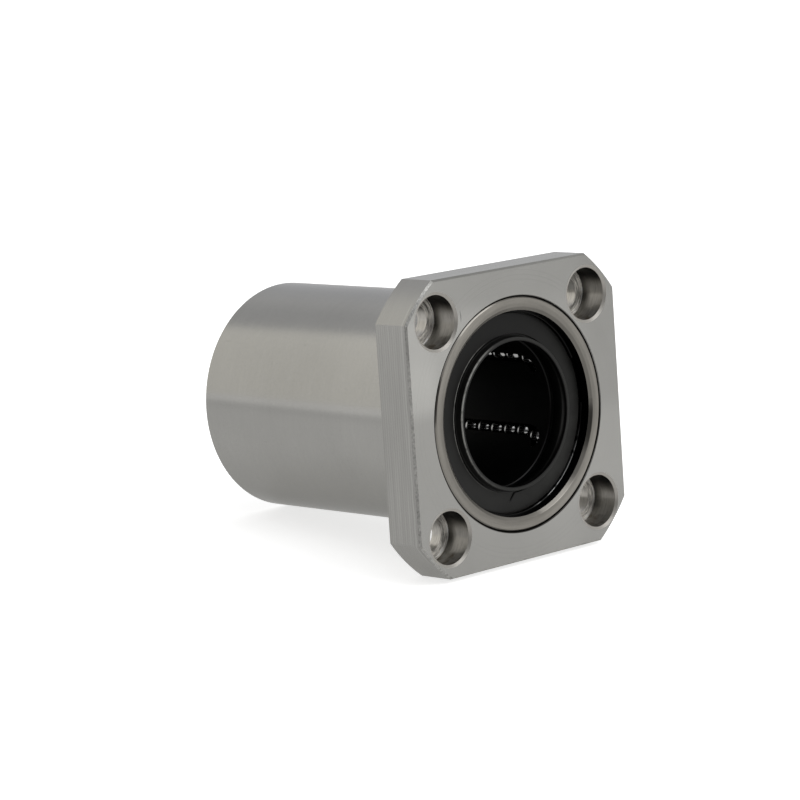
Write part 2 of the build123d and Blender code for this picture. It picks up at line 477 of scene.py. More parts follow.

# Where the sleeve is lighter or darker than the rest, and by what factor: painted light towards the flange,
# a darker inner rim, and painted shade on the recess's edge on the right
SLEEVE_LIT_FRONT_SPAN = (-26.0, -4.0)
SLEEVE_LIT_FRONT_LEVEL = 1.05
RIM_INNER_RADII = (18.3, 19.1)
RIM_INNER_LEVEL = 0.82
RECESS_EDGE_RADII = (17.95, 18.05)
RECESS_EDGE_SIDE = (0.0, 8.0)
RECESS_EDGE_SHADE_LEVEL = 0.72

# Painted shade darkens the sleeve's outer front edge, where it sits in the flange, and blackens its
# recesses behind their chamfers, together with the dark scale of their unground walls
EDGE_SHADE_WIDTH = 0.21
EDGE_SHADE_FADE = 0.08
EDGE_SHADE_SPAN = (FRONT - 0.8, FRONT - 0.6)
RECESS_DARK_RADII = (18.05, 18.15)
RECESS_DARK_SPAN = (HALF_LENGTH - 1.0, HALF_LENGTH - 0.8)
RECESS_WALL_FACING = (0.2, 0.4)

# The sleeve's finish
SLEEVE_ROUGHNESS = 0.17
SLEEVE_END_ROUGHER = 0.12
SLEEVE_GRAIN_ROUGHER = 0.015
SLEEVE_ANISOTROPY = 0.9
SLEEVE_EDGE_TINT = 0.72
SLEEVE_STREAK_HEIGHT = 0.7
SLEEVE_GRAIN_HEIGHT = 0.2
SLEEVE_BUMP = 0.001 * MM


def ground_steel():
    """The sleeve: ground round its outside, turned and browner on its ends, with painted light towards the
    flange and painted shade in its edges and recesses.
    """
    material, graph = new_material("ground_steel")
    place = surface_place(graph)
    facing = facing_along_bore(graph)
    x, y, z = graph.split(place)
    radius = radius_of(graph, place)
    end = graph.rise(facing, SLEEVE_END_FACING)

    marks = graph.noise(graph.join(graph.blend(end, x, radius), y, z), **SLEEVE_MARKS)
    grain = graph.noise(place, **SLEEVE_GRAIN)
    level = graph.add_shares(
        1.0,
        (marks, SLEEVE_MARKS_SHARE),
        (grain, SLEEVE_GRAIN_SHARE),
        (graph.noise(place, **SLEEVE_FINE_GRAIN), SLEEVE_FINE_GRAIN_SHARE),
        (graph.rise(graph.noise(place, **SLEEVE_SCRATCHES), SLEEVE_SCRATCH_SPAN), SLEEVE_SCRATCH_SHARE),
        (graph.noise(place, **BROAD_PATCHES), SLEEVE_PATCHES_SHARE),
        (graph.product(marks, end), SLEEVE_END_MARKS_SHARE),
    )
    # Painted light: the sleeve is a little lighter towards the flange
    level = graph.product(level, graph.step(x, SLEEVE_LIT_FRONT_SPAN, 1.0, SLEEVE_LIT_FRONT_LEVEL))
    level = graph.change(level, end, graph.step(radius, RIM_INNER_RADII, RIM_INNER_LEVEL, 1.0))
    # Painted shade on the recess's edge, on the right
    recess_edge_shade = graph.product(graph.fall(radius, RECESS_EDGE_RADII), graph.rise(y, RECESS_EDGE_SIDE))
    level = graph.change(level, recess_edge_shade, RECESS_EDGE_SHADE_LEVEL)
    colour = graph.scale(graph.mix(end, opaque(STEEL), opaque(RIM_STEEL)), level)

    # Painted shade in the sleeve's outer front edge, where it sits in the flange
    edge_shade_radius = SLEEVE_RADIUS - EDGE_SHADE_WIDTH
    outer_edge_shade = graph.rise(radius, (edge_shade_radius - EDGE_SHADE_FADE, edge_shade_radius))
    colour = graph.mix(graph.product(outer_edge_shade, graph.rise(x, EDGE_SHADE_SPAN)), colour, opaque(JOINT_SHADE))
    # Black in the recesses behind the chamfers and in the bore: painted shade, with the dark scale of the
    # unground recess walls
    behind_chamfer = graph.fall(graph.distance(x, MIDDLE), RECESS_DARK_SPAN)
    behind_chamfer = graph.either(behind_chamfer, graph.fall(facing, RECESS_WALL_FACING))
    recess_scale_and_shade = graph.product(graph.fall(radius, RECESS_DARK_RADII), behind_chamfer)
    colour = graph.mix(recess_scale_and_shade, colour, opaque(RECESS_SCALE_AND_SHADE))

    roughness = graph.add_shares(
        SLEEVE_ROUGHNESS,
        (end, SLEEVE_END_ROUGHER),
        (grain, SLEEVE_GRAIN_ROUGHER),
    )
    streaks = graph.noise(place, **SLEEVE_STREAKS)
    height = graph.add_shares(marks, (streaks, SLEEVE_STREAK_HEIGHT), (grain, SLEEVE_GRAIN_HEIGHT))
    normal = graph.bump(height, SLEEVE_BUMP)
    tangent = graph.node("Tangent", direction_type="RADIAL", axis="X").outputs[0]
    steel_surface(graph, colour, roughness, SLEEVE_ANISOTROPY, SLEEVE_EDGE_TINT, tangent, normal)
    return material


# Bolt circle and counterbore, as in the part's source

BOLT_CIRCLE_RADIUS = 25.5
BOLT_OFFSET = BOLT_CIRCLE_RADIUS * math.sqrt(0.5)
COUNTERBORE_DEPTH = 5.1
COUNTERBORE_FLOOR = FRONT - COUNTERBORE_DEPTH

# Spans in which the flange's masks change, close to the edges of the shank, the floor and the mouth
SHANK_RADII = (2.85, 2.95)
BORED_SPAN = (COUNTERBORE_FLOOR - 0.5, COUNTERBORE_FLOOR - 0.3)
HOLE_RADII = (4.98, 5.0)
MOUTH_SPAN = (FRONT - 0.34, FRONT - 0.31)
FLANGE_END_FACING = (0.60, 0.85)
CHAMFER_FACING_FROM = (0.30, 0.50)
CHAMFER_FACING_TO = (0.85, 0.95)
CORNER_RADII = (30.85, 30.95)

# Marks of the milling cutter, the lathe and the counterbore's tool
FLANGE_EVEN_STRETCH = (1.0, 0.04, 0.04)
MILLING_MARKS = dict(scale=1.5, detail=3.0, roughness=0.6, stretch=FLANGE_EVEN_STRETCH)
MILLING_PITCH = 0.52
MILLING_WANDER = 1.5
MILLING_PASS_SHARE = 0.35
MILLING_AT_CORNERS = 0.35
MILLING_SHARE = 0.16
TURNING_MARKS = dict(scale=2.5, detail=3.0, roughness=0.6, stretch=FLANGE_EVEN_STRETCH)
TURNING_RINGS = (22.7, 23.5, 24.3)
TURNING_RING_HALF_WIDTH = 0.12
TURNING_RING_SHARE = -0.05
TOOL_MARKS = dict(scale=2.8, detail=3.0, roughness=0.75, stretch=(1.0, 0.13, 0.13))
TOOL_WALL_SHARE = 0.5
TOOL_FLOOR_SHARE = 2.0
FLANGE_GRAIN = dict(scale=1.0, detail=1.0)
FLANGE_GRAIN_SHARE = 0.012
FLANGE_PATCHES_SHARE = 0.05
SPECKS = dict(scale=2.2, roughness=0.8)
SPECKS_SHARE = 0.8

# Levels of single places, as factors; heights are above the bolt hole's own axis. The counterbores' floors
# and shanks carry painted light, and their walls painted shade.
FLOOR_AND_SHANK_LIGHT = 1.45
FLOOR_RIM_RADII = (3.4, 4.4)
FLOOR_RIM_LIGHT = 1.35
TOP_CHAMFER_SPAN = (24.3, 24.6)
TOP_CHAMFER_LEVEL = 0.72
MOUTH_LEVEL = 1.10
# Painted shade on the holes' walls: darker at their foot and at their top
WALL_FOOT_SPAN = (COUNTERBORE_FLOOR, COUNTERBORE_FLOOR + 2.2)
WALL_FOOT_HEIGHTS = (-3.0, 0.0)
WALL_FOOT_LOW_SHADE = 0.60
WALL_FOOT_HIGH_SHADE = 0.24
SHANK_FOOT_SHADE = 0.85
WALL_TOP_HEIGHTS = (0.0, 3.0)
WALL_TOP_SHADE = 0.06


def painted_hole_shade(graph, x, above_hole, shank):
    """Painted shade on a bolt hole's walls: dark at the top, and darker towards the counterbore's floor."""
    foot = graph.step(above_hole, WALL_FOOT_HEIGHTS, WALL_FOOT_LOW_SHADE, WALL_FOOT_HIGH_SHADE)
    foot = graph.blend(shank, foot, SHANK_FOOT_SHADE)
    return graph.product(
        graph.step(x, WALL_FOOT_SPAN, foot, 1.0),
        graph.step(above_hole, WALL_TOP_HEIGHTS, 1.0, WALL_TOP_SHADE),
    )


# A strip along the front edge of the left side that a file has broken, with a light line behind it
FILE_WAVES = dict(scale=0.35, detail=1.0)
FILE_WAVE_SHARE = 0.25
FILED_LINE_PLACE = FRONT - 1.0
FILED_LINE_HALF_WIDTH = 0.22
FILED_LINE_LEVEL = 0.13
FILED_STRIP_SPAN = (FRONT - 0.95, FRONT - 0.75)
FILED_STRIP_LEVEL = -0.10
LEFT_SIDE_SPAN = (-23.0, -22.0)


def filed_edge(graph, place, x, y):
    """What the file's marks add to the level."""
    wavy_x = graph.add_shares(x, (graph.noise(place, **FILE_WAVES), FILE_WAVE_SHARE))
    line = graph.product(graph.line(wavy_x, FILED_LINE_PLACE, FILED_LINE_HALF_WIDTH), FILED_LINE_LEVEL)
    strip = graph.product(graph.rise(wavy_x, FILED_STRIP_SPAN), FILED_STRIP_LEVEL)
    return graph.product(graph.total(line, strip), graph.fall(y, LEFT_SIDE_SPAN))


# A short dark mark beside the upper left hole, at its inner side
BRUISE_RADIUS = 5.7
BRUISE_HALF_WIDTH = 0.16
BRUISE_HEIGHT = 0.2
BRUISE_HALF_LENGTH = 1.3
BRUISE_UPPER_HALF = (0.0, 1.0)
BRUISE_LEFT_SPAN = (-14.0, -13.0)
BRUISE_RIGHT_SPAN = (-11.0, -10.0)
BRUISE_SHARE = -0.6


def bruise_beside_hole(graph, y, z, above_hole, hole_radius):
    """The mask of the dark mark."""
    return graph.product(
        graph.line(hole_radius, BRUISE_RADIUS, BRUISE_HALF_WIDTH),
        graph.line(above_hole, BRUISE_HEIGHT, BRUISE_HALF_LENGTH),
        graph.rise(z, BRUISE_UPPER_HALF),
        graph.rise(y, BRUISE_LEFT_SPAN),
        graph.fall(y, BRUISE_RIGHT_SPAN),
    )


# A painted sheen at the left of the front face, and patches that are darker at its top, right and lower
# right: steps along y or z with their levels, multiplied
FACE_SHEEN_AND_PATCHES = {
    "sheen_left": [
        ("z", (1.5, 5.0), (0.0, 1.0)),
        ("z", (6.0, 16.0), (1.0, 0.3)),
        ("y", (-21.5, -17.0), (0.19, 0.0)),
    ],
    "darker_top": [
        ("z", (17.0, 21.0), (0.0, 1.0)),
        ("y", (-12.0, 4.0), (-0.15, -0.06)),
    ],
    "darker_right": [
        ("y", (14.0, 20.0), (0.0, 1.0)),
        ("z", (-4.0, 1.0), (0.03, -0.07)),
    ],
    "darker_lower_right": [
        ("y", (8.0, 18.0), (0.0, 1.0)),
        ("z", (-20.0, -14.0), (-0.10, 0.0)),
    ],
}


def face_sheen_and_patches(graph, y, z):
    """What the painted sheen and the darker patches add to the front face's level."""
    places = {"y": y, "z": z}
    patches = []
    for steps in FACE_SHEEN_AND_PATCHES.values():
        factors = [graph.step(places[axis], span, *levels) for axis, span, levels in steps]
        patches.append(graph.product(*factors))
    return graph.total(*patches)


# Brown stains low on the bolt holes' walls, and the dark joint with the sleeve
STAIN_NOISE = dict(scale=0.7)
STAIN_BELOW_SHARE = -0.25
STAIN_SPAN = (0.8, 1.6)
JOINT_RADII = (20.10, 20.20)
JOINT_BOTTOM_SPAN = (-16.0, -8.0)

# The flange's finish; the dish is how far the normals of its faces lean outwards
FLANGE_ROUGHNESS = 0.27
HOLE_ROUGHER = 0.05
MOUTH_ROUGHER = 0.25
CHAMFER_ROUGHER = 0.12
HOLE_FLOOR_ROUGHER = 0.25
FLANGE_ANISOTROPY = 0.8
FLANGE_EDGE_TINT = 0.86
TURNING_HEIGHT = 0.5
TOOL_HEIGHT = 8.0
SPECKS_HEIGHT = 3.0
FLANGE_BUMP = 0.002 * MM
DISH = 0.035


def machined_steel():
    """The flange: turned faces, milled sides, and tool marks in the counterbores."""
    material, graph = new_material("machined_steel")
    place = surface_place(graph)
    facing = facing_along_bore(graph)
    x, y, z = graph.split(place)
    radius = radius_of(graph, place)
    hole_y = graph.product(graph.math("SIGN", y), BOLT_OFFSET)
    hole_z = graph.product(graph.math("SIGN", z), BOLT_OFFSET)
    from_hole = graph.vector("SUBTRACT", place, graph.join(0.0, hole_y, hole_z))
    above_hole = graph.split(from_hole)[2]
    hole_radius = radius_of(graph, from_hole)

    shank = graph.fall(hole_radius, SHANK_RADII)
    bored = graph.either(shank, graph.rise(x, BORED_SPAN))
    hole = graph.product(bored, graph.fall(hole_radius, HOLE_RADII))
    outside = graph.opposite(hole)
    end = graph.rise(facing, FLANGE_END_FACING)
    side = graph.opposite(end)
    face = graph.product(end, outside)
    mouth = graph.product(hole, graph.rise(x, MOUTH_SPAN))
    below_mouth = graph.math("SUBTRACT", hole, mouth)
    hole_floor = graph.product(end, below_mouth)
    hole_wall = graph.product(side, hole)
    sloping = graph.product(graph.rise(facing, CHAMFER_FACING_FROM), graph.fall(facing, CHAMFER_FACING_TO))
    chamfer = graph.product(sloping, outside)
    corner = graph.product(side, graph.rise(radius, CORNER_RADII))

    # Marks lie square to this length: along the bore on the sides, out from an axis on the faces
    length = graph.blend(end, x, graph.blend(hole, radius, hole_radius))
    across_marks = graph.join(length, y, z)
    fine = graph.noise(across_marks, **MILLING_MARKS)
    phase = graph.add_shares(graph.product(fine, MILLING_WANDER), (x, math.tau / MILLING_PITCH))
    milling = graph.add_shares(fine, (graph.math("SINE", phase), MILLING_PASS_SHARE))
    milling = graph.product(milling, side, outside, graph.blend(corner, 1.0, MILLING_AT_CORNERS))
    turning = graph.product(graph.noise(across_marks, **TURNING_MARKS), face)
    rings = graph.total(*[graph.line(radius, ring, TURNING_RING_HALF_WIDTH) for ring in TURNING_RINGS])
    tool = graph.product(graph.noise(across_marks, **TOOL_MARKS), below_mouth)
    specks = graph.noise(place, **SPECKS)

    level = graph.add_shares(
        1.0,
        (milling, MILLING_SHARE),
        (graph.product(rings, face), TURNING_RING_SHARE),
        (graph.noise(place, **BROAD_PATCHES), FLANGE_PATCHES_SHARE),
        (graph.noise(place, **FLANGE_GRAIN), FLANGE_GRAIN_SHARE),
        (tool, graph.blend(hole_floor, TOOL_WALL_SHARE, TOOL_FLOOR_SHARE)),
    )
    # Painted light: the counterbores' floors and the shanks are lighter, most towards the floor's rim
    level = graph.change(level, graph.either(hole_floor, shank), FLOOR_AND_SHANK_LIGHT)
    level = graph.change(level, hole_floor, graph.step(hole_radius, FLOOR_RIM_RADII, 1.0, FLOOR_RIM_LIGHT))
    speckled = graph.add_shares(1.0, (specks, SPECKS_SHARE))
    speckled = graph.blend(graph.rise(z, TOP_CHAMFER_SPAN), speckled, TOP_CHAMFER_LEVEL)
    level = graph.change(level, chamfer, speckled)
    level = graph.change(level, mouth, MOUTH_LEVEL)
    bruise = bruise_beside_hole(graph, y, z, above_hole, hole_radius)
    front_face = graph.product(face, bored)
    level = graph.add_shares(
        level,
        (filed_edge(graph, place, x, y), graph.product(side, outside)),
        (graph.product(bruise, front_face), BRUISE_SHARE),
        # the painted sheen at the left of the front face, and its darker patches
        (face_sheen_and_patches(graph, y, z), front_face),
    )
    # Painted shade on the holes' walls
    level = graph.change(level, hole_wall, painted_hole_shade(graph, x, above_hole, shank))

    # Painted light: the holes' steel is lighter
    colour = graph.mix(hole, opaque(STEEL), opaque(LIT_HOLE_STEEL))
    stained = graph.add_shares(graph.noise(place, **STAIN_NOISE), (above_hole, STAIN_BELOW_SHARE))
    colour = graph.mix(graph.product(graph.rise(stained, STAIN_SPAN), hole_wall), colour, opaque(STAIN))
    colour = graph.scale(colour, level)

    # Painted shade in the joint with the sleeve: dark in the flange's bore, and on the face at the bottom
    shaded_joint = graph.either(graph.opposite(face), graph.fall(z, JOINT_BOTTOM_SPAN))
    colour = graph.mix(graph.product(graph.fall(radius, JOINT_RADII), shaded_joint), colour, opaque(JOINT_SHADE))

    # The lathe's feed leaves the faces a little dished
    outwards = graph.vector("NORMALIZE", graph.join(0.0, y, z))
    leaning = graph.scale(outwards, graph.product(face, DISH))
    flat = graph.node("NewGeometry").outputs["Normal"]
    dished = graph.vector("NORMALIZE", graph.vector("ADD", flat, leaning))
    height = graph.add_shares(
        milling,
        (turning, TURNING_HEIGHT),
        (tool, TOOL_HEIGHT),
        (graph.product(specks, chamfer), SPECKS_HEIGHT),
    )
    normal = graph.bump(height, FLANGE_BUMP, dished)
    roughness = graph.add_shares(
        FLANGE_ROUGHNESS,
        (hole, HOLE_ROUGHER),
        (mouth, MOUTH_ROUGHER),
        (chamfer, CHAMFER_ROUGHER),
        (hole_floor, HOLE_FLOOR_ROUGHER),
    )
    centre = graph.mix_vector(hole, place, from_hole)
    tangent = graph.vector("NORMALIZE", graph.vector("CROSS_PRODUCT", AXIS, centre))
    steel_surface(graph, colour, roughness, FLANGE_ANISOTROPY, FLANGE_EDGE_TINT, tangent, normal)
    return material


# Small steel pieces

SMALL_GRAIN = dict(scale=1.5, detail=3.0, roughness=0.6)
SMALL_GRAIN_SHARE = 0.06
SMALL_GRAIN_ROUGHER = 0.03
SMALL_BUMP = 0.001 * MM
WASHER_FINISH = dict(level=0.06, roughness=0.30, edge_tint=1.0)
BALL_FINISH = dict(level=0.38, roughness=0.09, edge_tint=0.15)


def plain_steel(name, level, roughness, edge_tint):
    """The side rings and the balls: even, with a little grain."""
    material, graph = new_material(name)
    grain = graph.noise(surface_place(graph), **SMALL_GRAIN)
    grained = graph.add_shares(1.0, (grain, SMALL_GRAIN_SHARE))
    graph.surface(
        {
            "Base Color": graph.scale(Vector((level, level, level)), grained),
            "Metallic": 1.0,
            "Roughness": graph.add_shares(roughness, (grain, SMALL_GRAIN_ROUGHER)),
            "Specular Tint": grey(edge_tint),
            "Normal": graph.bump(grain, SMALL_BUMP),
        }
    )
    return material


# A painted highlight lies along the inner edge, broken in patches, at the picture's right and below the
# middle
RING_INNER_RADIUS = 17.22 * MM
RING_LEVEL = 0.015
RING_HIGHLIGHT_LEVEL = 0.28
RING_EDGE_WIDTH = 0.08
RING_HIGHLIGHT_GAPS = dict(scale=0.6)
RING_HIGHLIGHT_GAPS_SPAN = (-0.35, 0.10)
RING_HIGHLIGHT_RIGHT = (3.5, 7.0)
RING_HIGHLIGHT_BELOW = (-8.0, -4.0)
RING_ROUGHNESS = 0.34
RING_GRAIN_ROUGHER = 0.04


def ring_steel():
    """The retaining rings: blackened, with a painted highlight along part of their inner edge."""
    material, graph = new_material("spring_steel")
    place = surface_place(graph)
    _x, y, z = graph.split(place)
    inner = RING_INNER_RADIUS / MM
    lit_inner_edge = graph.product(
        graph.fall(radius_of(graph, place), (inner, inner + RING_EDGE_WIDTH)),
        graph.rise(graph.noise(place, **RING_HIGHLIGHT_GAPS), RING_HIGHLIGHT_GAPS_SPAN),
        graph.rise(y, RING_HIGHLIGHT_RIGHT),
        graph.fall(z, RING_HIGHLIGHT_BELOW),
    )
    # Painted highlight along the inner edge
    level = graph.blend(lit_inner_edge, RING_LEVEL, RING_HIGHLIGHT_LEVEL)
    grain = graph.noise(place, **SMALL_GRAIN)
    graph.surface(
        {
            "Base Color": graph.join(level, level, level),
            "Metallic": 1.0,
            "Roughness": graph.add_shares(RING_ROUGHNESS, (grain, RING_GRAIN_ROUGHER)),
            "Normal": graph.bump(grain, SMALL_BUMP),
        }
    )
    return material


# Plastic and rubber

MOULD_PATCHES = dict(scale=0.25)
MOULD_BUMP = 0.002 * MM
PLASTIC_COLOUR = Vector((0.0008, 0.0008, 0.0008))
PLASTIC_PATCHES_SHARE = 0.3
PLASTIC_ROUGHNESS = 0.35
PLASTIC_SPECULAR = 0.12
PLASTIC_GRAIN = dict(scale=2.0, detail=3.0, roughness=0.6)
PATCHES_ROUGHER = 0.05


def retainer_plastic():
    """The ball retainer: black moulded plastic with a fine grain."""
    material, graph = new_material("retainer_plastic")
    place = surface_place(graph)
    patches = graph.noise(place, **MOULD_PATCHES)
    patchy = graph.add_shares(1.0, (patches, PLASTIC_PATCHES_SHARE))
    graph.surface(
        {
            "Base Color": graph.scale(PLASTIC_COLOUR, patchy),
            "Roughness": graph.add_shares(PLASTIC_ROUGHNESS, (patches, PATCHES_ROUGHER)),
            "Specular IOR Level": PLASTIC_SPECULAR,
            "Normal": graph.bump(graph.noise(place, **PLASTIC_GRAIN), MOULD_BUMP),
        }
    )
    return material


RUBBER_LEVEL = 0.0125
# Painted light and shade on the seals' face: lighter on the right and towards the bottom, darker towards
# the top
RUBBER_LIT_RIGHT_LEVEL = 2 * RUBBER_LEVEL
RUBBER_RIGHT_SPAN = (2.0, 15.0)
RUBBER_LIT_BOTTOM_FACTOR = 1.2
RUBBER_SHADED_TOP_FACTOR = 0.4
RUBBER_UPWARDS_SPAN = (-16.0, 14.0)
RUBBER_PATCHES_SHARE = 0.5
RUBBER_BLUE_SHARE = 0.95
LIP_LEVEL = 0.021
# Painted highlights on the rubber's edges
RUBBER_HIGHLIGHT_LEVEL = 0.26
# Painted shade inside the lip
INNER_RUBBER_SHADE_LEVEL = 0.0004
RUBBER_ROUGHNESS = 0.42
RUBBER_SPECULAR = 0.18
INNER_ROUGHNESS = 0.30
RUBBER_GRAIN = dict(scale=3.0, detail=3.0, roughness=0.6)

# The lip's paler tip fades in between these counts of the edge's rounding, measured back from its end
LIP_TIP_ROUNDINGS = (1.1, 0.7)

# Where painted highlights lie on the rubber: outer edges of the lip and the groove, on the left, less at
# the bottom
LIP_HIGHLIGHT_INWARDS = (0.36, 0.22)
GROOVE_HIGHLIGHT_DEPTH = 0.1
GROOVE_HIGHLIGHT_OFFSET = 0.12
GROOVE_HIGHLIGHT_HALF_WIDTH = 0.22
SEAL_HIGHLIGHT_LEFT_SPAN = (-9.0, -3.0)
SEAL_HIGHLIGHT_UPWARDS_SPAN = (-10.0, 0.0)
SEAL_HIGHLIGHT_BOTTOM_SHARE = 0.2
SEAL_HIGHLIGHT_BREAKS = dict(scale=0.8)
SEAL_HIGHLIGHT_BREAKS_SPAN = (-0.5, 0.1)
SEAL_HIGHLIGHT_BREAKS_SHARE = 0.3

# Where the rubber is painted blackest, as painted shade: inside the lip, and behind the face
INNER_WALL_DEPTH = 0.05
BEHIND_FACE_DEPTH = 0.3
BEHIND_FACE_RADII = (13.4, 13.6)


def rubber_highlight_mask(graph, place, from_middle, from_lip_axis, at_tip):
    """The mask of the painted highlights along the rubber's edges."""
    _x, y, z = graph.split(place)
    lip_radii = [lip_tip_radius / MM - inwards for inwards in LIP_HIGHLIGHT_INWARDS]
    lip_edge = graph.product(at_tip, graph.rise(from_lip_axis, lip_radii))
    groove_edge = (groove_radius + GROOVE_WIDTH) / MM + GROOVE_HIGHLIGHT_OFFSET
    groove = graph.product(
        graph.line(from_middle, (seal_face_x - middle_x) / MM, GROOVE_HIGHLIGHT_DEPTH),
        graph.line(from_lip_axis, groove_edge, GROOVE_HIGHLIGHT_HALF_WIDTH),
    )
    return graph.product(
        graph.either(lip_edge, groove),
        graph.fall(y, SEAL_HIGHLIGHT_LEFT_SPAN),
        graph.step(z, SEAL_HIGHLIGHT_UPWARDS_SPAN, SEAL_HIGHLIGHT_BOTTOM_SHARE, 1.0),
        graph.step(graph.noise(place, **SEAL_HIGHLIGHT_BREAKS), SEAL_HIGHLIGHT_BREAKS_SPAN, SEAL_HIGHLIGHT_BREAKS_SHARE, 1.0),
    )


def seal_rubber():
    """The end seals: grained black rubber, with painted highlights along the lip's edge, painted shade
    inside the lip, and painted light and shade across the face.
    """
    material, graph = new_material("seal_rubber")
    place = surface_place(graph)
    x, y, z = graph.split(place)
    from_middle = graph.distance(x, MIDDLE)
    from_lip_axis = radius_of(graph, graph.vector("SUBTRACT", place, LIP_SHIFT / MM))
    face = (seal_face_x - middle_x) / MM
    tip_span = [face + (LIP_HEIGHT - LIP_EDGE_ROUND * count) / MM for count in LIP_TIP_ROUNDINGS]
    at_tip = graph.rise(from_middle, tip_span)
    bore = SHAFT_RADIUS / MM
    inside = graph.fall(from_lip_axis, (bore, bore + INNER_WALL_DEPTH))
    behind_face = graph.product(
        graph.fall(from_middle, (face - BEHIND_FACE_DEPTH, face)),
        graph.fall(radius_of(graph, place), BEHIND_FACE_RADII),
    )
    inside = graph.either(inside, behind_face)

    patches = graph.noise(place, **MOULD_PATCHES)
    # Painted light on the right and towards the bottom, painted shade towards the top
    level = graph.product(
        graph.step(z, RUBBER_UPWARDS_SPAN, RUBBER_LIT_BOTTOM_FACTOR, RUBBER_SHADED_TOP_FACTOR),
        graph.step(y, RUBBER_RIGHT_SPAN, RUBBER_LEVEL, RUBBER_LIT_RIGHT_LEVEL),
        graph.add_shares(1.0, (patches, RUBBER_PATCHES_SHARE)),
    )
    level = graph.blend(at_tip, level, LIP_LEVEL)
    # Painted highlights along the lip's edge and the groove's edge
    rubber_highlight = rubber_highlight_mask(graph, place, from_middle, from_lip_axis, at_tip)
    level = graph.blend(rubber_highlight, level, RUBBER_HIGHLIGHT_LEVEL)
    # Painted shade: the rubber inside the lip and behind the face is nearly black
    level = graph.blend(inside, level, INNER_RUBBER_SHADE_LEVEL)
    roughness = graph.add_shares(RUBBER_ROUGHNESS, (patches, PATCHES_ROUGHER))
    graph.surface(
        {
            "Base Color": graph.join(level, level, graph.product(level, RUBBER_BLUE_SHARE)),
            "Roughness": graph.blend(inside, roughness, INNER_ROUGHNESS),
            "Specular IOR Level": RUBBER_SPECULAR,
            "Normal": graph.bump(graph.noise(place, **RUBBER_GRAIN), MOULD_BUMP),
        }
    )
    return material


def dress(names, material):
    for name in names:
        mesh = nodes[name].data
        mesh.materials.clear()
        mesh.materials.append(material)


# End seals: the CAD form with its lip a little off centre, a groove round the lip and a mould mark

SHAFT_RADIUS = 12.5 * MM
SEAL_BACK_CHAMFER = 0.25 * MM
SEAL_FACE_STEP = 0.45 * MM
SEAL_FACE_MARGIN = 0.5 * MM
SEAL_ROUND = 0.10 * MM
LIP_HEIGHT = 1.2 * MM
LIP_WALL = 0.7 * MM
LIP_EDGE_ROUND = 0.14 * MM
LIP_ROOT_ROUND = 0.10 * MM
LIP_CONTACT_LENGTH = 0.85 * MM
LIP_FLARE = 0.4 * MM
LIP_SHIFT = Vector((0, 0.40, -0.15)) * MM
LIP_LEAN = 0.15 * MM

# The mark runs outwards from the lip; angles are in degrees
MARK_DEPTH = 0.40 * MM
MARK_WIDTH = 0.15 * MM
MARK_LENGTH = 1.9 * MM
MARK_ANGLE = -91.0
MARK_SWEEP = -4.5
MARK_SWEEP_POWER = 0.7
MARK_FADE_POWER = 3
GROOVE_DEPTH = 0.35 * MM
GROOVE_WIDTH = 0.15 * MM
GROOVE_OFFSET = 0.05 * MM
GROOVE_GAP = 10.0
GROOVE_FADE = 30.0

# The mesh is finest beside the mark
FINE_ZONE = (-98.0, -88.0)
FINE_STEP = 0.25
COARSE_STEP = 1.5
ROUND_STEPS = 4
FACE_STEP = 0.07 * MM
OUTER_FACE_SHARES = (0.7, 0.4, 0.15)
SHARP_ANGLE = 40
HAIR = 1e-7

seal_radius = seal_high.z
seal_back_x = seal_low.x
seal_rim_x = ring_low.x
seal_face_x = seal_rim_x + SEAL_FACE_STEP
seal_face_radius = seal_radius - SEAL_FACE_MARGIN
lip_radius = SHAFT_RADIUS + LIP_WALL
lip_tip_radius = lip_radius - LIP_LEAN
groove_radius = lip_radius + LIP_ROOT_ROUND + GROOVE_OFFSET
mark_end_radius = groove_radius + MARK_LENGTH


def quarter(centre_x, centre_radius, size, start, end):
    """Points on a quarter circle from start to end, in degrees from +X towards the outside."""
    points = []
    for index in range(ROUND_STEPS + 1):
        angle = math.radians(start + (end - start) * index / ROUND_STEPS)
        points.append((centre_x + size * math.cos(angle), centre_radius + size * math.sin(angle)))
    return points


def seal_outline():
    """The seal's section as (x, radius), from its outer rim by the face, the lip and the back."""
    edge_x = seal_face_x + LIP_HEIGHT - LIP_EDGE_ROUND
    root_radius = lip_radius + LIP_ROOT_ROUND
    face_rows = round((mark_end_radius - groove_radius) / FACE_STEP)
    outline = [(seal_rim_x, seal_radius), (seal_rim_x, seal_face_radius)]
    outline += quarter(seal_face_x - SEAL_ROUND, seal_face_radius - SEAL_ROUND, SEAL_ROUND, 90, 0)
    for share in OUTER_FACE_SHARES:
        outline.append((seal_face_x, mark_end_radius + (seal_face_radius - mark_end_radius) * share))
    for row in range(face_rows + 1):
        outline.append((seal_face_x, mark_end_radius + (groove_radius - mark_end_radius) * row / face_rows))
    outline += quarter(seal_face_x + LIP_ROOT_ROUND, root_radius, LIP_ROOT_ROUND, 180, 270)
    outline += quarter(edge_x, lip_tip_radius - LIP_EDGE_ROUND, LIP_EDGE_ROUND, 90, 0)
    outline += quarter(edge_x, SHAFT_RADIUS - LIP_LEAN + LIP_EDGE_ROUND, LIP_EDGE_ROUND, 0, -90)
    outline += [(edge_x - LIP_CONTACT_LENGTH, SHAFT_RADIUS), (seal_rim_x, SHAFT_RADIUS + LIP_FLARE / 2)]
    outline += [(seal_back_x, SHAFT_RADIUS + LIP_FLARE), (seal_back_x, seal_radius - SEAL_BACK_CHAMFER)]
    outline += [(seal_back_x + SEAL_BACK_CHAMFER, seal_radius)]
    return outline


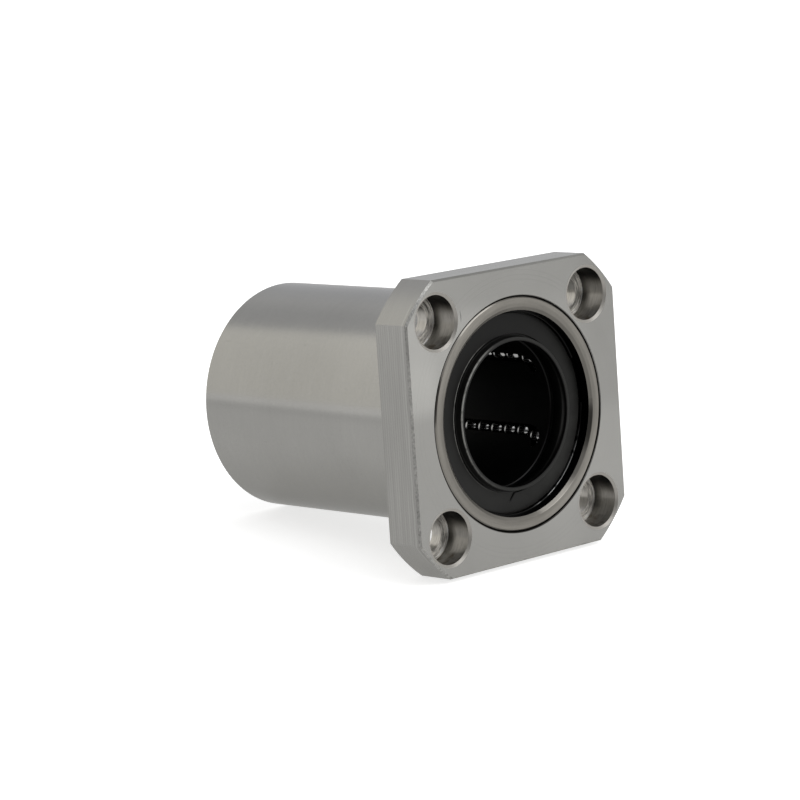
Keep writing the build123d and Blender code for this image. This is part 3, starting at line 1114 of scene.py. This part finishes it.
def seal_angles():
    """Degrees round the seal, close together beside the mould mark."""
    low, high = FINE_ZONE
    rest = 360 - (high - low)
    coarse_count = round(rest / COARSE_STEP)
    fine_count = round((high - low) / FINE_STEP)
    coarse = [high + rest * index / coarse_count for index in range(coarse_count)]
    fine = [low + 360 + (high - low) * index / fine_count for index in range(fine_count)]
    return coarse + fine


def groove_share(degrees):
    """The groove's depth as a share: it fades out round angle 0 and on the left of the mould mark."""
    if MARK_ANGLE - GROOVE_FADE < degrees < MARK_ANGLE:
        share = 2 * (MARK_ANGLE - degrees) / GROOVE_FADE - 1
    else:
        share = (abs(degrees) - GROOVE_GAP) / GROOVE_FADE
    return min(1.0, max(0.0, share))


def mark_depth(x, radius, degrees):
    """How deep the mould mark and the groove beside the lip are at a point of the seal's face."""
    on_face = abs(x - seal_face_x) < HAIR and groove_radius - HAIR < radius < mark_end_radius + HAIR
    if not on_face:
        return 0.0
    degrees = (degrees + 180) % 360 - 180
    groove = 0.0
    if radius < groove_radius + GROOVE_WIDTH:
        groove = GROOVE_DEPTH * groove_share(degrees)
    share = max(0.0, (radius - groove_radius) / MARK_LENGTH)
    bend = MARK_ANGLE + MARK_SWEEP * share**MARK_SWEEP_POWER
    away = radius * math.radians(abs(degrees - bend))
    mark = MARK_DEPTH * (1 - share**MARK_FADE_POWER) * math.exp(-((away / MARK_WIDTH) ** 2))
    return max(groove, mark)


def make_seal(name, side, material):
    """One end seal; side is 1 at the front and -1 at the rear."""
    outline = seal_outline()
    angles = seal_angles()
    vertices = []
    for degrees in angles:
        angle = math.radians(degrees)
        for x, radius in outline:
            depth = mark_depth(x, radius, degrees)
            outside_lip = max(0.0, (radius - groove_radius) / MARK_LENGTH)
            behind_lip = max(0.0, (seal_rim_x - x) / (seal_rim_x - seal_back_x))
            shift = LIP_SHIFT * max(0.0, 1 - outside_lip - behind_lip)
            place_x = middle_x + side * (x - depth - middle_x)
            place_y = radius * math.cos(angle) + shift.y
            place_z = radius * math.sin(angle) + shift.z
            vertices.append((place_x, place_y, place_z))
    count = len(outline)
    faces = []
    for turn in range(len(angles)):
        here = turn * count
        there = (turn + 1) % len(angles) * count
        for index in range(count):
            following = (index + 1) % count
            face = (here + index, here + following, there + following, there + index)
            faces.append(face[::side])
    mesh = bpy.data.meshes.new(name)
    mesh.from_pydata(vertices, [], faces)
    mesh.shade_smooth()
    mesh.set_sharp_from_angle(angle=math.radians(SHARP_ANGLE))
    mesh.materials.append(material)
    seal = link_object(name, mesh)
    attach(seal, "housing")
    return seal


bpy.context.scene.view_settings.view_transform = "Standard"
make_camera()
make_world()
make_floor()
make_soft_box()

rubber = seal_rubber()
ball_names = [name for name in nodes if "_row_" in name or "_turn_" in name]
dress(["outer_sleeve"], ground_steel())
dress(["square_flange"], machined_steel())
dress(["front_retaining_ring", "rear_retaining_ring"], ring_steel())
dress(["front_side_ring", "rear_side_ring"], plain_steel("washer_steel", **WASHER_FINISH))
dress(["ball_retainer"], retainer_plastic())
dress(ball_names, plain_steel("ball_steel", **BALL_FINISH))
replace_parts(make_seal("front_end_seal", 1, rubber), "front_seal")
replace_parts(make_seal("rear_end_seal", -1, rubber), "rear_seal")
